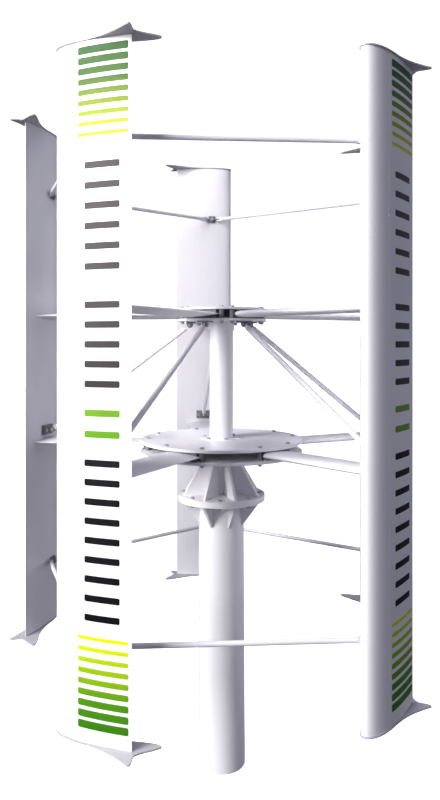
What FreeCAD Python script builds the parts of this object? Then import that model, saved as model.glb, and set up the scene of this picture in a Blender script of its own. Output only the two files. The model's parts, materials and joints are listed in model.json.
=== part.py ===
"""Five-blade vertical-axis wind turbine on a stub mast (millimetres).

The origin is the centre of the mast foot and +Z is up.  Blade 1 stands on the +Y side
and the others follow anticlockwise seen from above, so the rounded noses lead when the
rotor turns clockwise.  Everything that belongs to one blade is drawn once in a blade
frame, where +X points outward from the mast and +Y runs from the nose to the trailing
edge, and is then copied round the rotor.
"""
import FreeCAD
import Part
import Sketcher
import math
import os

Vector = FreeCAD.Vector
ALONG_Z = FreeCAD.Rotation()
ALONG_X = FreeCAD.Rotation(Vector(0, 1, 0), 90)
ALONG_Y = FreeCAD.Rotation(Vector(1, 0, 0), -90)

doc = FreeCAD.newDocument("wind_turbine")

# ---------------------------------------------------------------- driving sizes

SIZES = [
    ("blade_count", 5, "blades round the rotor"),
    ("first_blade_angle", 90, "direction of blade 1 from +X, degrees"),
    ("mast_foot_radius", 226, "outside of the mast at its foot"),
    ("mast_top_radius", 215, "outside of the mast under the flange"),
    ("mast_top_bore", 207, "inside of the mast under the flange"),
    ("mast_foot_bore", 212, "inside of the foot socket"),
    ("mast_socket_depth", 300, "straight bore that slides over the tower spigot"),
    ("mast_straight", 250, "straight length under the flange"),
    ("mast_length", 2510, "foot to the underside of the flange"),
    ("flange_radius", 415, "head flange and neck flange"),
    ("flange_thickness", 28, "each of the two flanges"),
    ("head_bore", 64, "hole for the spindle in the head flange"),
    ("gusset_count", 8, "gussets under the flange and ribs on the neck"),
    ("gusset_thickness", 24, "plate thickness of gussets and ribs"),
    ("gusset_reach", 385, "outer end of a gusset"),
    ("gusset_drop", 225, "height of a gusset"),
    ("neck_clocking", 13, "direction of the first rib, degrees"),
    ("flange_bolt_circle", 365, "radius of the flange bolt circle"),
    ("bolt_radius", 12, "hub and flange bolts"),
    ("bolt_hole", 12.5, "clearance hole for them"),
    ("bolt_flats", 36, "hexagon across flats"),
    ("bolt_head", 15, "head height"),
    ("nut_height", 20, "nut height"),
    ("bolt_tail", 8, "thread past the nut"),
    ("neck_radius", 90, "outside of the bearing tube"),
    ("neck_height", 334, "bearing tube above the neck flange"),
    ("neck_bore", 70, "bearing tube between the seats"),
    ("rib_foot", 378, "rib reach on the flange"),
    ("rib_top", 185, "rib reach at its top"),
    ("rib_height", 319, "rib height"),
    ("bearing_bore", 50, "inner ring bore radius"),
    ("bearing_outside", 75, "outer ring outside radius"),
    ("bearing_height", 24, "ring height"),
    ("ring_wall", 9, "wall of each ring"),
    ("ball_circle", 62.5, "radius of the ball circle"),
    ("ball_radius", 7, "ball radius"),
    ("groove_radius", 7.05, "race radius"),
    ("ball_count", 14, "balls in each bearing"),
    ("upper_bearing_level", 2862, "underside of the upper bearing"),
    ("cover_height", 12, "neck cover plate"),
    ("cover_bore", 52, "hole in the neck cover"),
    ("spindle_foot", 2296, "lower end of the spindle"),
    ("spindle_end", 36, "turned-down end of the spindle"),
    ("spindle_seat", 40, "generator seat of the spindle"),
    ("rotor_hub_foot", 2310, "underside of the generator rotor hub"),
    ("spindle_step", 2500, "step up to the bearing seat"),
    ("spindle_flange", 190, "top flange of the spindle"),
    ("spindle_flange_thickness", 22, "its thickness"),
    ("stator_outside", 197, "stator core outside radius"),
    ("stator_bore", 150, "stator core bore radius"),
    ("stator_foot", 2260, "underside of the stator core"),
    ("stator_height", 160, "stack height"),
    ("slot_count", 24, "stator slots"),
    ("slot_width", 16, "slot width"),
    ("slot_depth", 29, "slot depth"),
    ("coil_overhang", 20, "winding past the core at each end"),
    ("carrier_outside", 206, "stator carrier outside radius"),
    ("carrier_foot", 2240, "underside of the stator carrier"),
    ("carrier_ring", 10, "top ring thickness of the carrier"),
    ("drum_outside", 138, "generator drum outside radius"),
    ("drum_inside", 120, "generator drum inside radius"),
    ("magnet_outside", 148.5, "outside of the magnets"),
    ("magnet_count", 16, "magnets round the drum"),
    ("magnet_angle", 18, "arc of one magnet, degrees"),
    ("lower_hub_level", 3024, "middle of the lower hub"),
    ("lower_disc_radius", 770, "lower hub discs"),
    ("lower_disc_thickness", 26, "lower hub discs"),
    ("lower_disc_bore", 60, "hole in the lower hub discs"),
    ("upper_hub_level", 4267, "middle of the upper hub"),
    ("upper_disc_radius", 428, "upper hub discs"),
    ("upper_disc_thickness", 20, "upper hub discs"),
    ("hub_gap", 82, "space between the two discs of a hub"),
    ("lower_bolt_circle", 705, "lower hub bolts"),
    ("lower_bolt_spread", 15, "each side of an arm, degrees"),
    ("upper_bolt_circle", 385, "upper hub bolts"),
    ("upper_bolt_spread", 28.8, "each side of an arm, degrees"),
    ("spacer_radius", 21, "spacer tubes between the discs"),
    ("core_radius", 200, "core ring in the lower hub"),
    ("core_bolt_circle", 166, "bolts through shaft foot, core and spindle"),
    ("core_bolt_radius", 10, "core bolts"),
    ("core_bolt_hole", 10.5, "clearance hole for them"),
    ("core_bolt_flats", 30, "hexagon across flats"),
    ("core_bolt_count", 6, "core bolts"),
    ("core_bolt_clocking", 7, "direction of the first from +Y, degrees"),
    ("shaft_radius", 112, "main shaft outside"),
    ("shaft_bore", 100, "main shaft inside"),
    ("shaft_foot_radius", 195, "foot flange of the main shaft"),
    ("shaft_foot_thickness", 6, "its thickness"),
    ("collar_radius", 124, "collar under the upper hub"),
    ("collar_neck", 120, "upper part of the collar"),
    ("collar_height", 84, "collar height"),
    ("collar_ring", 32, "height of its lower ring"),
    ("blade_circle", 1866, "radius of the blade chord line"),
    ("blade_foot", 1165, "underside of the blades"),
    ("blade_length", 4980, "blades without end plates"),
    ("blade_chord", 670, "blade chord"),
    ("blade_nose", 355, "nose ahead of the arm centre line"),
    ("blade_ratio", 0.235, "blade thickness over chord"),
    ("blade_skin", 5, "blade skin"),
    ("end_plate_thickness", 12, "end plates"),
    ("end_plate_lip", 7, "end plate past the blade at the nose"),
    ("arm_chord", 384, "arm chord"),
    ("arm_ratio", 0.164, "arm thickness over chord"),
    ("arm_skin", 3.5, "arm skin"),
    ("lower_arm_start", 727, "inner end of the lower arms"),
    ("upper_arm_start", 380, "inner end of the upper arms"),
    ("spar_width", 120, "box spar cell of the arms"),
    ("spar_height", 36, "box spar cell of the arms"),
    ("root_length", 120, "root block between the discs"),
    ("root_width", 300, "root block"),
    ("tongue_length", 140, "root tongue inside the spar cell"),
    ("strut_hub_reach", 310, "strut pin under the upper hub"),
    ("strut_hub_drop", 32, "strut pin below the disc"),
    ("strut_blade_reach", 1728, "strut pin at the blade"),
    ("strut_blade_level", 3134, "strut pin at the blade"),
    ("strut_radius", 24, "strut tube outside"),
    ("strut_bore", 20, "strut tube inside"),
    ("strut_setback", 56, "strut tube starts this far from the pins"),
    ("strut_cap", 8, "closing disc in each strut end"),
    ("strut_vent", 4, "vent hole through each closing disc"),
    ("strut_tongue", 16, "strut tongue thickness"),
    ("ear_gap", 18, "gap between bracket ears"),
    ("ear_thickness", 12, "bracket ears"),
    ("strut_pin_radius", 8, "strut pins"),
    ("upper_tie_level", 5516, "upper tie rods"),
    ("lower_tie_level", 1776, "lower tie rods"),
    ("tie_reach", 1766, "tie pins from the mast axis"),
    ("tie_centre", 110, "tie bracket ahead of the arm centre line"),
    ("tie_spread", 72, "tie pins each side of the bracket centre"),
    ("tie_radius", 21, "tie tube outside"),
    ("tie_bore", 17, "tie tube inside"),
    ("fork_length", 62, "tie fork from its pin"),
    ("fork_width", 36, "tie fork"),
    ("fork_height", 44, "tie fork"),
    ("fork_slot", 15, "slot of the fork"),
    ("tie_plate", 14, "bracket plate in the slot"),
    ("tie_pin_radius", 6, "tie pins"),
    ("bracket_bolt_radius", 8, "bolts of the blade brackets"),
]

sheet = doc.addObject("Spreadsheet::Sheet", "Sizes")
for row, (alias, value, note) in enumerate(SIZES, start=1):
    sheet.set("A%d" % row, note)
    sheet.set("B%d" % row, str(value))
    sheet.setAlias("B%d" % row, alias)
doc.recompute()


class Dim:
    """A size together with the formula that ties it to the sheet."""

    def __init__(self, value, formula):
        self.value = float(value)
        self.formula = formula

    @staticmethod
    def of(item):
        return item if isinstance(item, Dim) else Dim(item, "%.10g" % item)

    def join(self, sign, other, value):
        return Dim(value, "(%s %s %s)" % (self.formula, sign, other.formula))

    def __add__(self, other):
        other = Dim.of(other)
        return self.join("+", other, self.value + other.value)

    def __sub__(self, other):
        other = Dim.of(other)
        return self.join("-", other, self.value - other.value)

    def __mul__(self, other):
        other = Dim.of(other)
        return self.join("*", other, self.value * other.value)

    def __truediv__(self, other):
        other = Dim.of(other)
        return self.join("/", other, self.value / other.value)

    def __neg__(self):
        return Dim(0, "0") - self

    def __rsub__(self, other):
        return Dim.of(other) - self

    __radd__ = __add__
    __rmul__ = __mul__

    def at(self, angle):
        """X and Y of a point at this radius and an angle in degrees."""
        angle = Dim.of(angle)
        turn = math.radians(angle.value)
        x = Dim(self.value * math.cos(turn), "(%s * cos(%s))" % (self.formula, angle.formula))
        y = Dim(self.value * math.sin(turn), "(%s * sin(%s))" % (self.formula, angle.formula))
        return x, y


def size(alias):
    return Dim(sheet.get(alias), "Sizes." + alias)


def whole(alias):
    return int(sheet.get(alias))


# ---------------------------------------------------------------- building helpers

def bind(item, prop, dim):
    """Give a property its size and keep it tied to the sheet."""
    dim = Dim.of(dim)
    item.setExpression(prop, dim.formula)


def place(item, at, rotation=ALONG_Z):
    item.Placement = FreeCAD.Placement(Vector(*[Dim.of(a).value for a in at]), rotation)
    for axis, dim in zip("xyz", at):
        item.setExpression("Placement.Base." + axis, Dim.of(dim).formula)
    return item


def cylinder(name, radius, height, at=(0, 0, 0), rotation=ALONG_Z):
    item = doc.addObject("Part::Cylinder", name)
    bind(item, "Radius", radius)
    bind(item, "Height", height)
    return place(item, at, rotation)


def box(name, length, width, height, at):
    item = doc.addObject("Part::Box", name)
    bind(item, "Length", length)
    bind(item, "Width", width)
    bind(item, "Height", height)
    return place(item, at)


def hexagon(name, flats, height, at):
    item = doc.addObject("Part::Prism", name)
    item.Polygon = 6
    bind(item, "Circumradius", flats / math.sqrt(3))
    bind(item, "Height", height)
    return place(item, at)


def fuse(name, items):
    item = doc.addObject("Part::MultiFuse", name)
    item.Shapes = items
    return item


def cut(name, base, tools):
    item = doc.addObject("Part::Cut", name)
    item.Base = base
    item.Tool = tools[0] if len(tools) == 1 else group(name + "_tools", tools)
    return item


def group(name, items):
    item = doc.addObject("Part::Compound", name)
    item.Links = items
    return item


def turned(name, form, angle):
    """A copy of a form, turned about the mast axis."""
    item = doc.addObject("Part::Refine", name)
    item.Source = form
    item.setExpression("Placement.Rotation.Angle", Dim.of(angle).formula)
    return item


def ring(form, count, first=0):
    """Copies of a form spread evenly about the mast axis."""
    count_dim = size(count)
    return [turned("%s_%02d" % (form.Name, k + 1), form, Dim.of(360 * k) / count_dim + first)
            for k in range(whole(count))]


def blade_angle(k):
    """Direction of blade k, from 1."""
    return size("first_blade_angle") + Dim.of(360 * (k - 1)) / size("blade_count")


def round_blades(name, form):
    """One named copy of a form at every blade."""
    return [turned("%s_%d" % (name, k), form, blade_angle(k))
            for k in range(1, whole("blade_count") + 1)]


def origin_plane(body, role):
    for feature in body.Origin.OriginFeatures:
        if feature.Role == role:
            return feature
    raise RuntimeError("no plane " + role)


def new_sketch(body, name, role):
    sketch = body.newObject("Sketcher::SketchObject", name)
    sketch.AttachmentSupport = [(origin_plane(body, role), "")]
    sketch.MapMode = "FlatFace"
    return sketch


def pin_point(sketch, geometry, point, x, y):
    """Hold a point of the sketch at a bound distance from its origin."""
    for kind, dim in (("DistanceX", Dim.of(x)), ("DistanceY", Dim.of(y))):
        index = sketch.addConstraint(
            Sketcher.Constraint(kind, -1, 1, geometry, point, dim.value))
        sketch.setExpression("Constraints[%d]" % index, dim.formula)


def outline(sketch, corners):
    """Closed straight-sided outline through bound corners."""
    points = [Vector(Dim.of(x).value, Dim.of(y).value, 0) for x, y in corners]
    count = len(points)
    for i in range(count):
        sketch.addGeometry(Part.LineSegment(points[i], points[(i + 1) % count]))
    for i in range(count):
        sketch.addConstraint(Sketcher.Constraint("Coincident", i, 2, (i + 1) % count, 1))
    for i, (x, y) in enumerate(corners):
        pin_point(sketch, i, 1, x, y)


def circle(sketch, x, y, radius):
    radius = Dim.of(radius)
    centre = Vector(Dim.of(x).value, Dim.of(y).value, 0)
    index = sketch.addGeometry(Part.Circle(centre, Vector(0, 0, 1), radius.value))
    pin_point(sketch, index, 3, x, y)
    rule = sketch.addConstraint(Sketcher.Constraint("Radius", index, radius.value))
    sketch.setExpression("Constraints[%d]" % rule, radius.formula)


def turned_body(name, corners):
    """A body turned about the mast axis from a radius and height outline."""
    body = doc.addObject("PartDesign::Body", name)
    sketch = new_sketch(body, name + "_profile", "XZ_Plane")
    outline(sketch, corners)
    feature = body.newObject("PartDesign::Revolution", name + "_turning")
    feature.Profile = sketch
    feature.ReferenceAxis = (sketch, ["V_Axis"])
    feature.Angle = 360
    body.Tip = feature
    return body


def plate_body(name, corners, thickness):
    """An upright plate over the +X axis, drawn in radius and height."""
    body = doc.addObject("PartDesign::Body", name)
    sketch = new_sketch(body, name + "_profile", "XZ_Plane")
    outline(sketch, corners)
    feature = body.newObject("PartDesign::Pad", name + "_pad")
    feature.Profile = sketch
    feature.SideType = "Symmetric"
    bind(feature, "Length", thickness)
    body.Tip = feature
    return body


def drill_ring(body, name, points, radius, count):
    """Holes through a body, repeated round its axis."""
    sketch = new_sketch(body, name + "_centres", "XY_Plane")
    for x, y in points:
        circle(sketch, x, y, radius)
    hole = body.newObject("PartDesign::Pocket", name)
    hole.Profile = sketch
    hole.Type = "ThroughAll"
    hole.Reversed = True
    pattern = body.newObject("PartDesign::PolarPattern", name + "_ring")
    pattern.Originals = [hole]
    pattern.Axis = (sketch, ["N_Axis"])
    pattern.Angle = 360
    pattern.Occurrences = whole(count)
    bind(pattern, "Occurrences", size(count))
    body.Tip = pattern


def disc_body(name, level, radius, bore, thickness):
    """A flat hub disc with its underside at a level."""
    body = doc.addObject("PartDesign::Body", name)
    sketch = new_sketch(body, name + "_profile", "XY_Plane")
    circle(sketch, 0, 0, radius)
    if bore is not None:
        circle(sketch, 0, 0, bore)
    feature = body.newObject("PartDesign::Pad", name + "_pad")
    feature.Profile = sketch
    bind(feature, "Length", thickness)
    body.Tip = feature
    return place(body, (0, 0, level))


def section(name, wires):
    """A flat face for an extrusion, with inner wires as openings."""
    item = doc.addObject("Part::Feature", name)
    face = Part.Face(wires)
    face.validate()
    item.Shape = face
    return item


def extrude(name, profile, length, direction, at=(0, 0, 0)):
    item = doc.addObject("Part::Extrusion", name)
    item.Base = profile
    item.DirMode = "Custom"
    item.Dir = direction
    item.Solid = True
    bind(item, "LengthFwd", length)
    return place(item, at)


# ---------------------------------------------------------------- airfoil sections

def half_thickness(x, ratio):
    """Half thickness over chord of the four-digit symmetric airfoil."""
    return 5 * ratio * (0.2969 * math.sqrt(x) - 0.1260 * x - 0.3516 * x ** 2
                        + 0.2843 * x ** 3 - 0.1015 * x ** 4)


def stations(start, end, count):
    """Chord stations, closer together near a rounded nose."""
    low = math.acos(1 - 2 * start)
    high = math.acos(1 - 2 * end)
    return [(1 - math.cos(low + (high - low) * i / count)) / 2 for i in range(count + 1)]


def spline(points):
    curve = Part.BSplineCurve()
    curve.interpolate(points)
    return curve.toShape()


def airfoil_wire(chord, ratio, nose, axis, lip=0.0):
    """Outside of an airfoil; axis gives a point from across and along distances."""
    upper = [(half_thickness(x, ratio) * chord + lip, x * chord - nose)
             for x in stations(0, 1, 16)]
    upper[0] = (0.0, -nose - lip)
    lower = [(-across, along) for across, along in upper]
    points = [axis(*p) for p in reversed(upper)] + [axis(*p) for p in lower[1:]]
    return Part.Wire([spline(points), Part.makeLine(points[-1], points[0])])


def cell_wire(chord, ratio, nose, axis, skin, start, end):
    """Hollow cell inside an airfoil between two chord stations."""
    upper = [(half_thickness(x, ratio) * chord - skin, x * chord - nose)
             for x in stations(start, end, 8)]
    top = [axis(across, along) for across, along in upper]
    bottom = [axis(-across, along) for across, along in upper]
    return Part.Wire([spline(top), Part.makeLine(top[-1], bottom[-1]),
                      spline(bottom[::-1]), Part.makeLine(bottom[0], top[0])])


blade_chord = size("blade_chord").value
blade_ratio = size("blade_ratio").value
blade_nose = size("blade_nose").value
blade_circle = size("blade_circle").value
arm_chord = size("arm_chord").value
arm_ratio = size("arm_ratio").value


def across_blade(across, along):
    """Blade frame point from the chord line: outward and toward the trailing edge."""
    return Vector(blade_circle + across, along, 0)


def across_arm(across, along):
    return Vector(0, along, across)


# ---------------------------------------------------------------- mast and head

mast_length = size("mast_length")
flange_top = mast_length + size("flange_thickness")
neck_foot = flange_top + size("flange_thickness")
neck_top = neck_foot + size("neck_height")
straight_foot = mast_length - size("mast_straight")

mast_tube = turned_body("mast_tube", [
    (size("mast_foot_bore"), 0),
    (size("mast_foot_radius"), 0),
    (size("mast_top_radius"), straight_foot),
    (size("mast_top_radius"), mast_length),
    (size("mast_top_bore"), mast_length),
    (size("mast_top_bore"), straight_foot),
    (size("mast_foot_bore"), size("mast_socket_depth")),
])

bolt_turn = size("neck_clocking") + Dim.of(180) / size("gusset_count")

flange_plate = turned_body("flange_plate", [
    (size("head_bore"), mast_length),
    (size("flange_radius"), mast_length),
    (size("flange_radius"), flange_top),
    (size("head_bore"), flange_top),
])
gusset = plate_body("gusset", [
    (size("mast_top_bore"), mast_length - size("gusset_drop")),
    (size("mast_top_radius") + 10, mast_length - size("gusset_drop")),
    (size("gusset_reach"), mast_length - 8),
    (size("gusset_reach"), mast_length + 5),
    (size("mast_top_bore"), mast_length + 5),
], size("gusset_thickness"))
flange_drill = cylinder("flange_drill", size("bolt_hole"), size("flange_thickness") * 2 + 20,
                        (size("flange_bolt_circle"), 0, mast_length - 10))
mast_plug = cylinder("mast_plug", size("mast_top_radius"), mast_length)
head_blank = fuse("head_blank", [flange_plate] + ring(gusset, "gusset_count",
                                                      size("neck_clocking")))
flange_drills = ring(flange_drill, "gusset_count", bolt_turn)
mast_head = cut("mast_head", head_blank, [mast_plug] + flange_drills)

# ---------------------------------------------------------------- bearing neck

neck_tube = turned_body("neck_tube", [
    (size("bearing_outside"), flange_top),
    (size("flange_radius"), flange_top),
    (size("flange_radius"), neck_foot),
    (size("neck_radius"), neck_foot),
    (size("neck_radius"), neck_top),
    (size("bearing_outside"), neck_top),
    (size("bearing_outside"), size("upper_bearing_level")),
    (size("neck_bore"), size("upper_bearing_level")),
    (size("neck_bore"), flange_top + size("bearing_height")),
    (size("bearing_outside"), flange_top + size("bearing_height")),
])
rib = plate_body("rib", [
    (size("neck_radius") - 8, neck_foot - 5),
    (size("rib_foot"), neck_foot - 5),
    (size("rib_foot"), neck_foot + 6),
    (size("rib_top"), neck_foot + size("rib_height")),
    (size("neck_radius") - 8, neck_foot + size("rib_height")),
], size("gusset_thickness"))
neck_blank = fuse("neck_blank", [neck_tube] + ring(rib, "gusset_count", size("neck_clocking")))
neck_housing = cut("neck_housing", neck_blank, flange_drills)

cover_spigot = size("upper_bearing_level") + size("bearing_height")
neck_cover = turned_body("neck_cover", [
    (size("cover_bore"), neck_top),
    (size("bearing_outside") - size("ring_wall"), neck_top),
    (size("bearing_outside") - size("ring_wall"), cover_spigot),
    (size("bearing_outside"), cover_spigot),
    (size("bearing_outside"), neck_top),
    (size("neck_radius"), neck_top),
    (size("neck_radius"), neck_top + size("cover_height")),
    (size("cover_bore"), neck_top + size("cover_height")),
])

# ---------------------------------------------------------------- ball bearings


def bearing_set(name, level):
    """Outer ring, inner ring and balls with the underside at a level."""
    middle = level + size("bearing_height") / 2
    height = size("bearing_height")
    race = doc.addObject("Part::Torus", name + "_race")
    bind(race, "Radius1", size("ball_circle"))
    bind(race, "Radius2", size("groove_radius"))
    place(race, (0, 0, middle))
    outside = cylinder(name + "_outside", size("bearing_outside"), height, (0, 0, level))
    waist = cylinder(name + "_waist", size("bearing_outside") - size("ring_wall"),
                     height, (0, 0, level))
    shoulder = cylinder(name + "_shoulder", size("bearing_bore") + size("ring_wall"),
                        height, (0, 0, level))
    bore = cylinder(name + "_bore", size("bearing_bore"), height, (0, 0, level))
    outer = cut(name + "_outer", outside, [waist, race])
    inner = cut(name + "_inner", shoulder, [bore, race])
    ball = doc.addObject("Part::Sphere", name + "_ball")
    bind(ball, "Radius", size("ball_radius"))
    place(ball, (size("ball_circle"), 0, middle))
    return outer, inner, ring(ball, "ball_count")


upper_outer, upper_inner, upper_balls = bearing_set("upper_bearing", size("upper_bearing_level"))
lower_outer, lower_inner, lower_balls = bearing_set("lower_bearing", flange_top)
bearing_outer_rings = group("bearing_outer_rings", [upper_outer, lower_outer])
bearing_inner_rings = group("bearing_inner_rings", [upper_inner, lower_inner])
bearing_balls = group("bearing_balls", upper_balls + lower_balls)

# ---------------------------------------------------------------- generator in the mast

stator_foot = size("stator_foot")
stator_top = stator_foot + size("stator_height")
generator_carrier = turned_body("generator_carrier", [
    (size("stator_outside"), size("carrier_foot")),
    (size("carrier_outside"), size("carrier_foot")),
    (size("carrier_outside"), mast_length),
    (size("stator_bore"), mast_length),
    (size("stator_bore"), mast_length - size("carrier_ring")),
    (size("stator_outside"), mast_length - size("carrier_ring")),
])

stack = turned_body("stack", [
    (size("stator_bore"), stator_foot),
    (size("stator_outside"), stator_foot),
    (size("stator_outside"), stator_top),
    (size("stator_bore"), stator_top),
])
slot = box("slot", size("slot_depth"), size("slot_width"), size("stator_height"),
           (size("stator_bore") - 1, -size("slot_width") / 2, stator_foot))
stator_core = cut("stator_core", stack, ring(slot, "slot_count"))

coil_bar = box("coil_bar", size("slot_depth") - 3, size("slot_width") - 0.4,
               size("stator_height") + size("coil_overhang") * 2 - 8,
               (size("stator_bore") + 1.5, -(size("slot_width") - 0.4) / 2,
                stator_foot - size("coil_overhang") + 4))
end_turns = []
for end, level in (("lower", stator_foot - size("coil_overhang")), ("upper", stator_top + 2)):
    end_turns.append(turned_body(end + "_end_turn", [
        (size("stator_bore") + 5, level),
        (size("stator_bore") + size("slot_depth"), level),
        (size("stator_bore") + size("slot_depth"), level + size("coil_overhang") - 2),
        (size("stator_bore") + 5, level + size("coil_overhang") - 2),
    ]))
stator_windings = fuse("stator_windings", end_turns + ring(coil_bar, "slot_count"))

hub_foot = size("rotor_hub_foot")
generator_rotor = turned_body("generator_rotor", [
    (size("spindle_seat"), hub_foot),
    (size("spindle_seat") + 22, hub_foot),
    (size("spindle_seat") + 22, hub_foot + 22),
    (size("drum_inside"), hub_foot + 22),
    (size("drum_inside"), stator_foot + 5),
    (size("drum_outside"), stator_foot + 5),
    (size("drum_outside"), stator_top - 5),
    (size("drum_inside"), stator_top - 5),
    (size("drum_inside"), hub_foot + 40),
    (size("spindle_seat") + 22, hub_foot + 40),
    (size("spindle_seat") + 22, hub_foot + 62),
    (size("spindle_seat"), hub_foot + 62),
])
magnet_blank = cylinder("magnet_blank", size("magnet_outside"), size("stator_height") - 10,
                        (0, 0, stator_foot + 5))
bind(magnet_blank, "Angle", size("magnet_angle"))
drum_plug = cylinder("drum_plug", size("drum_outside"), size("stator_height") - 10,
                     (0, 0, stator_foot + 5))
magnet = cut("magnet", magnet_blank, [drum_plug])
rotor_magnets = group("rotor_magnets", ring(magnet, "magnet_count"))

# ---------------------------------------------------------------- spindle, core and shaft

half_gap = size("hub_gap") / 2
lower_floor = size("lower_hub_level") - half_gap
lower_roof = size("lower_hub_level") + half_gap
upper_floor = size("upper_hub_level") - half_gap
upper_roof = size("upper_hub_level") + half_gap
spindle_top = lower_floor - size("lower_disc_thickness")
shaft_foot = lower_roof + size("lower_disc_thickness")
collar_top = upper_floor - size("upper_disc_thickness")
collar_foot = collar_top - size("collar_height")
core_point = [size("core_bolt_circle").at(size("core_bolt_clocking") + 90)]

spindle = turned_body("spindle", [
    (0, size("spindle_foot")),
    (size("spindle_end"), size("spindle_foot")),
    (size("spindle_end"), hub_foot),
    (size("spindle_seat"), hub_foot),
    (size("spindle_seat"), size("spindle_step")),
    (size("bearing_bore"), size("spindle_step")),
    (size("bearing_bore"), spindle_top - size("spindle_flange_thickness")),
    (size("spindle_flange"), spindle_top - size("spindle_flange_thickness")),
    (size("spindle_flange"), spindle_top),
    (0, spindle_top),
])
drill_ring(spindle, "spindle_holes", core_point, size("core_bolt_hole"), "core_bolt_count")

hub_core = turned_body("hub_core", [
    (size("lower_disc_bore"), lower_floor),
    (size("core_radius"), lower_floor),
    (size("core_radius"), lower_roof),
    (size("lower_disc_bore"), lower_roof),
])
drill_ring(hub_core, "hub_core_holes", core_point, size("core_bolt_hole"), "core_bolt_count")

main_shaft = turned_body("main_shaft", [
    (size("shaft_bore"), shaft_foot),
    (size("shaft_foot_radius"), shaft_foot),
    (size("shaft_foot_radius"), shaft_foot + size("shaft_foot_thickness")),
    (size("shaft_radius"), shaft_foot + size("shaft_foot_thickness")),
    (size("shaft_radius"), collar_foot),
    (size("collar_radius"), collar_foot),
    (size("collar_radius"), collar_foot + size("collar_ring")),
    (size("collar_neck"), collar_foot + size("collar_ring")),
    (size("collar_neck"), collar_top),
    (size("shaft_radius"), collar_top),
    (size("shaft_radius"), upper_roof),
    (size("shaft_bore"), upper_roof),
])
drill_ring(main_shaft, "shaft_foot_holes", core_point, size("core_bolt_hole"), "core_bolt_count")

# ---------------------------------------------------------------- hub discs and spacers

lower_points = [size("lower_bolt_circle").at(size("first_blade_angle") + size("lower_bolt_spread")),
                size("lower_bolt_circle").at(size("first_blade_angle") - size("lower_bolt_spread"))]
upper_points = [size("upper_bolt_circle").at(size("first_blade_angle") + size("upper_bolt_spread")),
                size("upper_bolt_circle").at(size("first_blade_angle") - size("upper_bolt_spread"))]

DISCS = [
    ("lower_hub_bottom_disc", spindle_top, "lower", size("lower_disc_bore"), lower_points),
    ("lower_hub_top_disc", lower_roof, "lower", size("lower_disc_bore"), lower_points),
    ("upper_hub_bottom_disc", collar_top, "upper", size("shaft_radius"), upper_points),
    ("upper_hub_top_disc", upper_roof, "upper", None, upper_points),
]
discs = []
for name, level, hub, bore, points in DISCS:
    disc = disc_body(name, level, size(hub + "_disc_radius"), bore, size(hub + "_disc_thickness"))
    drill_ring(disc, name + "_holes", points, size("bolt_hole"), "blade_count")
    if hub == "lower":
        drill_ring(disc, name + "_core_holes", core_point, size("core_bolt_hole"),
                   "core_bolt_count")
    discs.append(disc)


def bolt_and_nut(name, reach, top, bottom, radius, flats):
    """Hexagon bolt with its head on a top face and its nut under a bottom face."""
    shank_foot = bottom - size("nut_height") - size("bolt_tail")
    shank = cylinder(name + "_shank", radius, top - shank_foot, (reach, 0, shank_foot))
    head = hexagon(name + "_head", flats, size("bolt_head"), (reach, 0, top))
    bolt = fuse(name + "_bolt", [shank, head])
    nut_blank = hexagon(name + "_nut_blank", flats, size("nut_height"),
                        (reach, 0, bottom - size("nut_height")))
    nut_hole = cylinder(name + "_nut_hole", radius, size("nut_height"),
                        (reach, 0, bottom - size("nut_height")))
    return bolt, cut(name + "_nut", nut_blank, [nut_hole])


spacers = []
hub_bolt_items = []
for hub, floor, roof in (("lower", lower_floor, lower_roof), ("upper", upper_floor, upper_roof)):
    reach = size(hub + "_bolt_circle")
    thickness = size(hub + "_disc_thickness")
    tube = cylinder(hub + "_spacer_tube", size("spacer_radius"), size("hub_gap"), (reach, 0, floor))
    tube_bore = cylinder(hub + "_spacer_bore", size("bolt_hole"), size("hub_gap"),
                         (reach, 0, floor))
    spacer = cut(hub + "_spacer", tube, [tube_bore])
    bolt, nut = bolt_and_nut(hub + "_hub", reach, roof + thickness, floor - thickness,
                             size("bolt_radius"), size("bolt_flats"))
    for side, spread in (("a", size(hub + "_bolt_spread")), ("b", -size(hub + "_bolt_spread"))):
        for k in range(1, whole("blade_count") + 1):
            angle = blade_angle(k) + spread
            spacers.append(turned("%s_spacer_%d%s" % (hub, k, side), spacer, angle))
            hub_bolt_items.append(turned("%s_hub_bolt_%d%s" % (hub, k, side), bolt, angle))
            hub_bolt_items.append(turned("%s_hub_nut_%d%s" % (hub, k, side), nut, angle))
hub_spacers = group("hub_spacers", spacers)
hub_bolts = group("hub_bolts", hub_bolt_items)

core_bolt, core_nut = bolt_and_nut("core", size("core_bolt_circle"),
                                   shaft_foot + size("shaft_foot_thickness"),
                                   spindle_top - size("spindle_flange_thickness"),
                                   size("core_bolt_radius"), size("core_bolt_flats"))
core_turn = size("core_bolt_clocking") + 90
core_bolts = group("core_bolts", ring(core_bolt, "core_bolt_count", core_turn)
                   + ring(core_nut, "core_bolt_count", core_turn))

flange_bolt, flange_nut = bolt_and_nut("flange", size("flange_bolt_circle"), neck_foot,
                                       mast_length, size("bolt_radius"), size("bolt_flats"))
flange_bolts = group("flange_bolts", ring(flange_bolt, "gusset_count", bolt_turn)
                     + ring(flange_nut, "gusset_count", bolt_turn))

# ---------------------------------------------------------------- blades

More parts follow.
